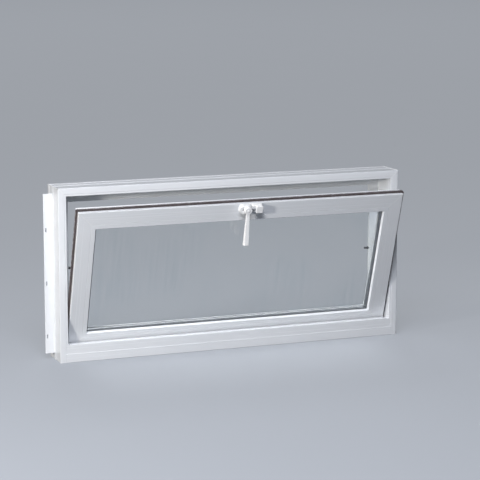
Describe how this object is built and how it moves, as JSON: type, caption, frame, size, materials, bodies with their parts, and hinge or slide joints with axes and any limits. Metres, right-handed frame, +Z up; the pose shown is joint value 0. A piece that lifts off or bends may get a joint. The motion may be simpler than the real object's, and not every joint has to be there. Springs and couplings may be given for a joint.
{
  "type": "hopper window",
  "caption": "Vinyl basement hopper window with side fins; a bottom-pivoted double-glazed sash tilts in at the top and is locked by a cam lever.",
  "frame": {"origin": "centre of the frame's bottom face, under the sill", "axes": "+X along the window's width, +Y from the room to the outside, +Z up"},
  "size_m": [0.854, 0.1753, 0.387],
  "materials": {
    "vinyl": "satin white extrusion",
    "glass": "clear float glass",
    "spacer": "mill finish",
    "pile": "dense dark pile",
    "steel": "zinc plated",
    "nylon": "natural nylon",
    "black_plastic": "moulded",
    "white_latch": "powder coated white"
  },
  "bodies": {
    "frame": {"head": "vinyl", "sill": "vinyl", "left_jamb": "vinyl", "right_jamb": "vinyl", "left_fin": "vinyl", "right_fin": "vinyl", "left_pivot_block": "nylon", "right_pivot_block": "nylon", "left_screen_pin": "black_plastic", "right_screen_pin": "black_plastic", "latch_keeper": "steel"},
    "sash": {"top_rail": "vinyl", "bottom_rail": "vinyl", "left_stile": "vinyl", "right_stile": "vinyl", "top_bead": "vinyl", "bottom_bead": "vinyl", "left_bead": "vinyl", "right_bead": "vinyl", "inner_pane": "glass", "outer_pane": "glass", "glass_spacer": "spacer", "top_seal": "pile", "left_seal": "pile", "right_seal": "pile", "left_pivot_pin": "steel", "right_pivot_pin": "steel", "latch_base": "white_latch"},
    "lever": {"latch_cam": "white_latch", "latch_lever": "white_latch"}
  },
  "joints": [
    {"name": "sash_tilt", "type": "hinge", "parent": "frame", "child": "sash", "pos_m": [0, -0.00325, 0.033], "axis": [1, 0, 0], "range_deg": [-18, 0]},
    {"name": "latch_turn", "type": "hinge", "parent": "sash", "child": "lever", "pos_m": [0.001, -0.1145, 0.33332], "axis": [0, 0.9511, 0.309], "range_deg": [0, 90]}
  ]
}
